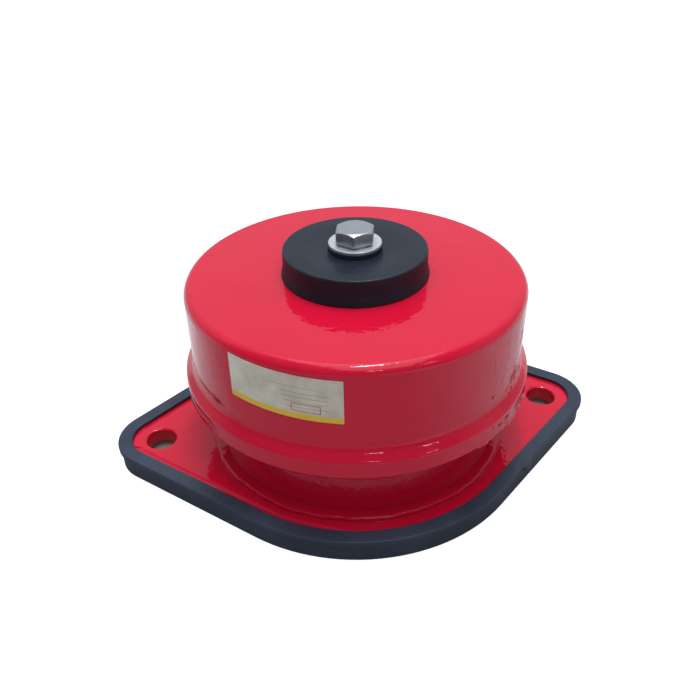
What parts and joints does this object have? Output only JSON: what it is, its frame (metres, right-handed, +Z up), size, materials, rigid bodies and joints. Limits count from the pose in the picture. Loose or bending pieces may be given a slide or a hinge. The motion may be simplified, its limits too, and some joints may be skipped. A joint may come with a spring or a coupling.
{
  "type": "spring vibration isolator",
  "caption": "Spring vibration isolator: a drawn steel cap floats on a coil spring over a sleeve welded to a diamond base plate in a rubber boot, with a rubber top pad and a machine bolt.",
  "frame": {"origin": "on the floor, under the spring's axis, at the middle of the boot's underside", "axes": "+Z up along the spring's axis; +X along the line of the two floor bolt holes"},
  "size_m": [0.236, 0.17, 0.1142],
  "materials": {
    "red_paint": "glossy brushed and sprayed enamel over drawn steel, with orange peel",
    "black_rubber": "moulded black rubber, satin, lightly dusty",
    "zinc_plate": "bright zinc-plated steel",
    "oiled_steel": "plain oiled steel",
    "paper_label": "varnished cream paper label, blank"
  },
  "bodies": {
    "base": {"base_boot": "black_rubber", "base_plate": "red_paint", "lower_sleeve": "red_paint", "sleeve_weld": "red_paint", "lower_spring_guide": "oiled_steel", "lower_spring_pad": "black_rubber", "coil_spring": "oiled_steel"},
    "top": {"cap": "red_paint", "retainer_ring": "oiled_steel", "friction_ring": "black_rubber", "rebound_ring": "black_rubber", "upper_spring_guide": "oiled_steel", "upper_spring_pad": "black_rubber", "weld_nut": "oiled_steel", "top_pad": "black_rubber", "flat_washer": "zinc_plate", "machine_bolt": "zinc_plate"}
  },
  "joints": [
    {"name": "spring_travel", "type": "slide", "parent": "base", "child": "top", "axis": [0, 0, 1], "range_m": [-0.022, 0], "stiffness_N_per_m": 80000, "springref_m": 0.01, "deforming": ["coil_spring"]}
  ]
}
